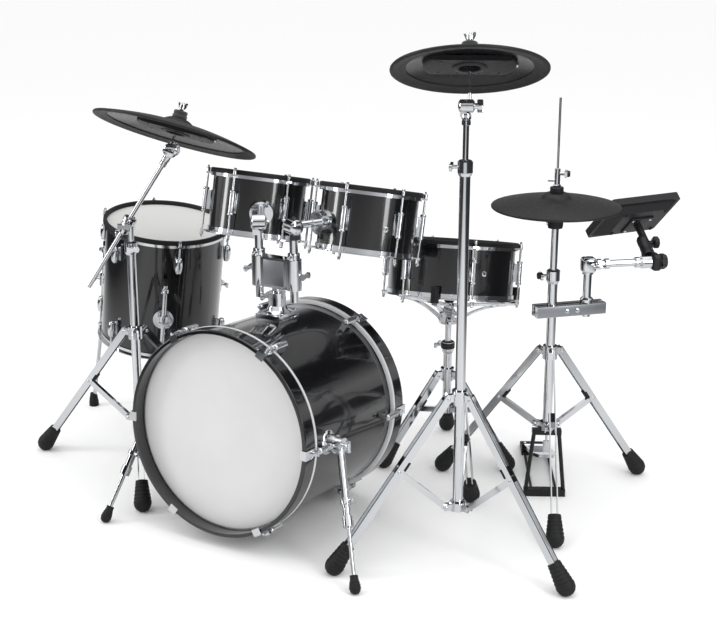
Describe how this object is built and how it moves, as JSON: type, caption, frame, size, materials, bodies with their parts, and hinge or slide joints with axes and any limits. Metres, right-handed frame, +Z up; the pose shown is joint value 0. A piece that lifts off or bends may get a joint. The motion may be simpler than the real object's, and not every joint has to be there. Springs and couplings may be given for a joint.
{
  "type": "electronic drum kit",
  "caption": "Electronic drum kit with full-depth black shells, white mesh heads, black rubber pad cymbals, chrome tripod stands, hi-hat pedal and sound module.",
  "frame": {"origin": "middle of the kit's box on the floor", "axes": "+Z up, +X towards the hi-hat side, +Y towards the drummer's seat"},
  "size_m": [1.843, 1.1751, 1.2831],
  "materials": {
    "black_lacquer": "gloss",
    "white_mesh": "matte",
    "chrome": "polished",
    "black_rubber": "matte",
    "pad_rubber": "satin",
    "black_plastic": "satin",
    "black_paint": "gloss"
  },
  "bodies": {
    "stands": {"bass_shell": "black_lacquer", "bass_hoops": "black_lacquer", "bass_heads": "white_mesh", "bass_tension_hardware": "chrome", "bass_brackets": "chrome", "floor_tom_legs": "chrome", "crash_base_tube": "chrome", "ride_stand_base": "chrome", "snare_stand_base": "chrome", "hihat_stand_base": "chrome", "rubber_feet": "black_rubber", "pedal_frame": "black_paint"},
    "spur_left": {"bass_spur_left": "chrome"},
    "spur_right": {"bass_spur_right": "chrome"},
    "tom_holder": {"tom_post": "chrome"},
    "tom_arm_left": {"tom_arm_left": "chrome"},
    "tom_arm_right": {"tom_arm_right": "chrome"},
    "tom_left": {"tom_left_shell": "black_lacquer", "tom_left_top_hoop": "black_rubber", "tom_left_heads": "white_mesh", "tom_left_hardware": "chrome"},
    "tom_right": {"tom_right_shell": "black_lacquer", "tom_right_top_hoop": "black_rubber", "tom_right_heads": "white_mesh", "tom_right_hardware": "chrome"},
    "floor_tom": {"floor_tom_shell": "black_lacquer", "floor_tom_top_hoop": "black_rubber", "floor_tom_heads": "white_mesh", "floor_tom_hardware": "chrome"},
    "snare_tube": {"snare_upper_tube": "chrome"},
    "snare": {"snare_basket": "chrome", "snare_shell": "black_lacquer", "snare_top_hoop": "black_rubber", "snare_heads": "white_mesh", "snare_hardware": "chrome"},
    "crash_collar": {"crash_leg_collar": "chrome"},
    "crash_leg_1": {"crash_leg_1": "chrome"},
    "crash_leg_2": {"crash_leg_2": "chrome"},
    "crash_leg_3": {"crash_leg_3": "chrome"},
    "crash_brace_1": {"crash_brace_1": "chrome"},
    "crash_brace_2": {"crash_brace_2": "chrome"},
    "crash_brace_3": {"crash_brace_3": "chrome"},
    "crash_tube": {"crash_upper_tube": "chrome"},
    "crash_tilter": {"crash_tilter": "chrome"},
    "crash_cymbal": {"crash_cymbal": "pad_rubber"},
    "ride_tube": {"ride_upper_tube": "chrome"},
    "ride_clamp": {"ride_boom_clamp": "chrome"},
    "ride_boom": {"ride_boom": "chrome"},
    "ride_tilter": {"ride_tilter": "chrome"},
    "ride_cymbal": {"ride_cymbal": "pad_rubber"},
    "hihat_tube": {"hihat_upper_tube": "chrome", "hihat_controller": "black_plastic"},
    "hihat_rod": {"hihat_rod": "chrome"},
    "hihat_clutch": {"hihat_clutch": "chrome", "hihat_pad": "pad_rubber"},
    "pedal": {"pedal_footboard": "chrome"},
    "module_arm": {"module_arm": "chrome"},
    "module": {"module_housing": "black_plastic"},
    "module_dial": {"module_dial": "black_plastic"},
    "module_buttons": {"module_buttons": "black_plastic"}
  },
  "joints": [
    {"name": "spur_left_fold", "type": "hinge", "parent": "stands", "child": "spur_left", "pos_m": [-0.2151, -0.40915, 0.29053], "axis": [1, 0, 0], "range_deg": [-70, 0]},
    {"name": "spur_right_fold", "type": "hinge", "parent": "stands", "child": "spur_right", "pos_m": [0.2929, -0.40915, 0.29053], "axis": [1, 0, 0], "range_deg": [-70, 0]},
    {"name": "tom_holder_height", "type": "slide", "parent": "stands", "child": "tom_holder", "axis": [0, 0, 1], "range_m": [-0.012, 0.01]},
    {"name": "tom_arm_left_swivel", "type": "hinge", "parent": "tom_holder", "child": "tom_arm_left", "pos_m": [-0.0146, -0.24899, 0.778], "axis": [0, 0, 1], "range_deg": [-2, 20]},
    {"name": "tom_left_tilt", "type": "hinge", "parent": "tom_arm_left", "child": "tom_left", "pos_m": [-0.0146, -0.24899, 0.778], "axis": [-0.8147, -0.5799, 0], "range_deg": [-4, 10]},
    {"name": "tom_arm_right_swivel", "type": "hinge", "parent": "tom_holder", "child": "tom_arm_right", "pos_m": [0.0924, -0.24899, 0.778], "axis": [0, 0, 1], "range_deg": [-20, 2]},
    {"name": "tom_right_tilt", "type": "hinge", "parent": "tom_arm_right", "child": "tom_right", "pos_m": [0.0924, -0.24899, 0.778], "axis": [-0.8997, 0.4366, 0], "range_deg": [-4, 10]},
    {"name": "floor_tom_height", "type": "slide", "parent": "stands", "child": "floor_tom", "axis": [0.1463, -0.0276, 0.9889], "range_m": [-0.03, 0.06]},
    {"name": "snare_height", "type": "slide", "parent": "stands", "child": "snare_tube", "axis": [0, 0, 1], "range_m": [-0.05, 0.02]},
    {"name": "snare_tilt", "type": "hinge", "parent": "snare_tube", "child": "snare", "pos_m": [0.2609, 0.29, 0.438], "axis": [0.9659, 0.2588, 0], "range_deg": [-6, 1.5]},
    {"name": "crash_tripod_fold", "type": "slide", "parent": "stands", "child": "crash_collar", "axis": [0, 0, 1], "range_m": [0, 0.0945]},
    {"name": "crash_leg_1_fold", "type": "hinge", "parent": "crash_collar", "child": "crash_leg_1", "pos_m": [0.57072, -0.23827, 0.42], "axis": [-0.9397, -0.342, 0], "range_deg": [0, 29.96]},
    {"name": "crash_brace_1_fold", "type": "hinge", "parent": "stands", "child": "crash_brace_1", "pos_m": [0.57072, -0.23827, 0.135], "axis": [-0.9397, -0.342, 0], "range_deg": [-40.7, 0]},
    {"name": "crash_leg_2_fold", "type": "hinge", "parent": "crash_collar", "child": "crash_leg_2", "pos_m": [0.56088, -0.29405, 0.42], "axis": [0.766, -0.6428, 0], "range_deg": [0, 29.96]},
    {"name": "crash_brace_2_fold", "type": "hinge", "parent": "stands", "child": "crash_brace_2", "pos_m": [0.56088, -0.29405, 0.135], "axis": [0.766, -0.6428, 0], "range_deg": [-40.7, 0]},
    {"name": "crash_leg_3_fold", "type": "hinge", "parent": "crash_collar", "child": "crash_leg_3", "pos_m": [0.6141, -0.27468, 0.42], "axis": [0.1736, 0.9848, 0], "range_deg": [0, 29.96]},
    {"name": "crash_brace_3_fold", "type": "hinge", "parent": "stands", "child": "crash_brace_3", "pos_m": [0.6141, -0.27468, 0.135], "axis": [0.1736, 0.9848, 0], "range_deg": [-40.7, 0]},
    {"name": "crash_height", "type": "slide", "parent": "stands", "child": "crash_tube", "axis": [0, 0, 1], "range_m": [-0.08, 0.2]},
    {"name": "crash_tilt", "type": "hinge", "parent": "crash_tube", "child": "crash_tilter", "pos_m": [0.5819, -0.269, 1.123], "axis": [0.8704, 0.4924, 0], "range_deg": [-10, 10]},
    {"name": "crash_swing", "type": "hinge", "parent": "crash_tilter", "child": "crash_cymbal", "pos_m": [0.56609, -0.22654, 1.22349], "axis": [0.8704, 0.4924, 0], "range_deg": [-4, 4]},
    {"name": "ride_height", "type": "slide", "parent": "stands", "child": "ride_tube", "axis": [0, 0, 1], "range_m": [0, 0.15]},
    {"name": "ride_boom_tilt", "type": "hinge", "parent": "ride_tube", "child": "ride_clamp", "pos_m": [-0.4631, -0.224, 0.719], "axis": [0.3746, -0.9272, 0], "range_deg": [-1, 15]},
    {"name": "ride_boom_slide", "type": "slide", "parent": "ride_clamp", "child": "ride_boom", "axis": [0.505, 0.204, 0.8387], "range_m": [0, 0.08]},
    {"name": "ride_tilt", "type": "hinge", "parent": "ride_boom", "child": "ride_tilter", "pos_m": [-0.32519, -0.20187, 0.92867], "axis": [0.3746, -0.9272, 0], "range_deg": [-1, 12]},
    {"name": "ride_swing", "type": "hinge", "parent": "ride_tilter", "child": "ride_cymbal", "pos_m": [-0.31687, -0.18374, 0.99286], "axis": [0.3746, -0.9272, 0], "range_deg": [-3, 3]},
    {"name": "hihat_pedal", "type": "hinge", "parent": "stands", "child": "pedal", "pos_m": [0.48409, 0.43449, 0.0238], "axis": [0.8788, 0.4772, 0], "range_deg": [0, 1.96], "stiffness_Nm_per_rad": 40, "springref_deg": -14.32},
    {"name": "hihat_rod_travel", "type": "slide", "parent": "stands", "child": "hihat_rod", "axis": [0, 0, 1], "range_m": [-0.0101, 0]},
    {"name": "hihat_height", "type": "slide", "parent": "stands", "child": "hihat_tube", "axis": [0, 0, 1], "range_m": [-0.04, 0.1]},
    {"name": "hihat_clutch_height", "type": "slide", "parent": "hihat_rod", "child": "hihat_clutch", "axis": [0, 0, 1], "range_m": [-0.0401, 0.1001]},
    {"name": "module_arm_swivel", "type": "hinge", "parent": "stands", "child": "module_arm", "pos_m": [0.69198, 0.24749, 0], "axis": [0, 0, 1], "range_deg": [-30, 5]},
    {"name": "module_tilt", "type": "hinge", "parent": "module_arm", "child": "module", "pos_m": [0.82179, 0.36034, 0.648], "axis": [0.7547, 0.6561, 0], "range_deg": [-15, 15]},
    {"name": "module_dial_turn", "type": "hinge", "parent": "module", "child": "module_dial", "pos_m": [0.76754, 0.51185, 0.73577], "axis": [-0.5997, 0.3747, 0.7071], "continuous": true},
    {"name": "module_buttons_press", "type": "slide", "parent": "module", "child": "module_buttons", "axis": [0.5997, -0.3747, -0.7071], "range_m": [0, 0.0025], "stiffness_N_per_m": 1500, "springref_m": -0.001}
  ],
  "couplings": [
    {"joint": "crash_leg_1_fold", "follows": "crash_tripod_fold", "rad_per_m": 5.5319},
    {"joint": "crash_brace_1_fold", "follows": "crash_tripod_fold", "rad_per_m": -7.5144},
    {"joint": "crash_leg_2_fold", "follows": "crash_tripod_fold", "rad_per_m": 5.5319},
    {"joint": "crash_brace_2_fold", "follows": "crash_tripod_fold", "rad_per_m": -7.5144},
    {"joint": "crash_leg_3_fold", "follows": "crash_tripod_fold", "rad_per_m": 5.5319},
    {"joint": "crash_brace_3_fold", "follows": "crash_tripod_fold", "rad_per_m": -7.5144},
    {"joint": "hihat_rod_travel", "follows": "hihat_pedal", "m_per_rad": -0.293},
    {"joint": "hihat_clutch_height", "follows": "hihat_height", "ratio": 1}
  ]
}
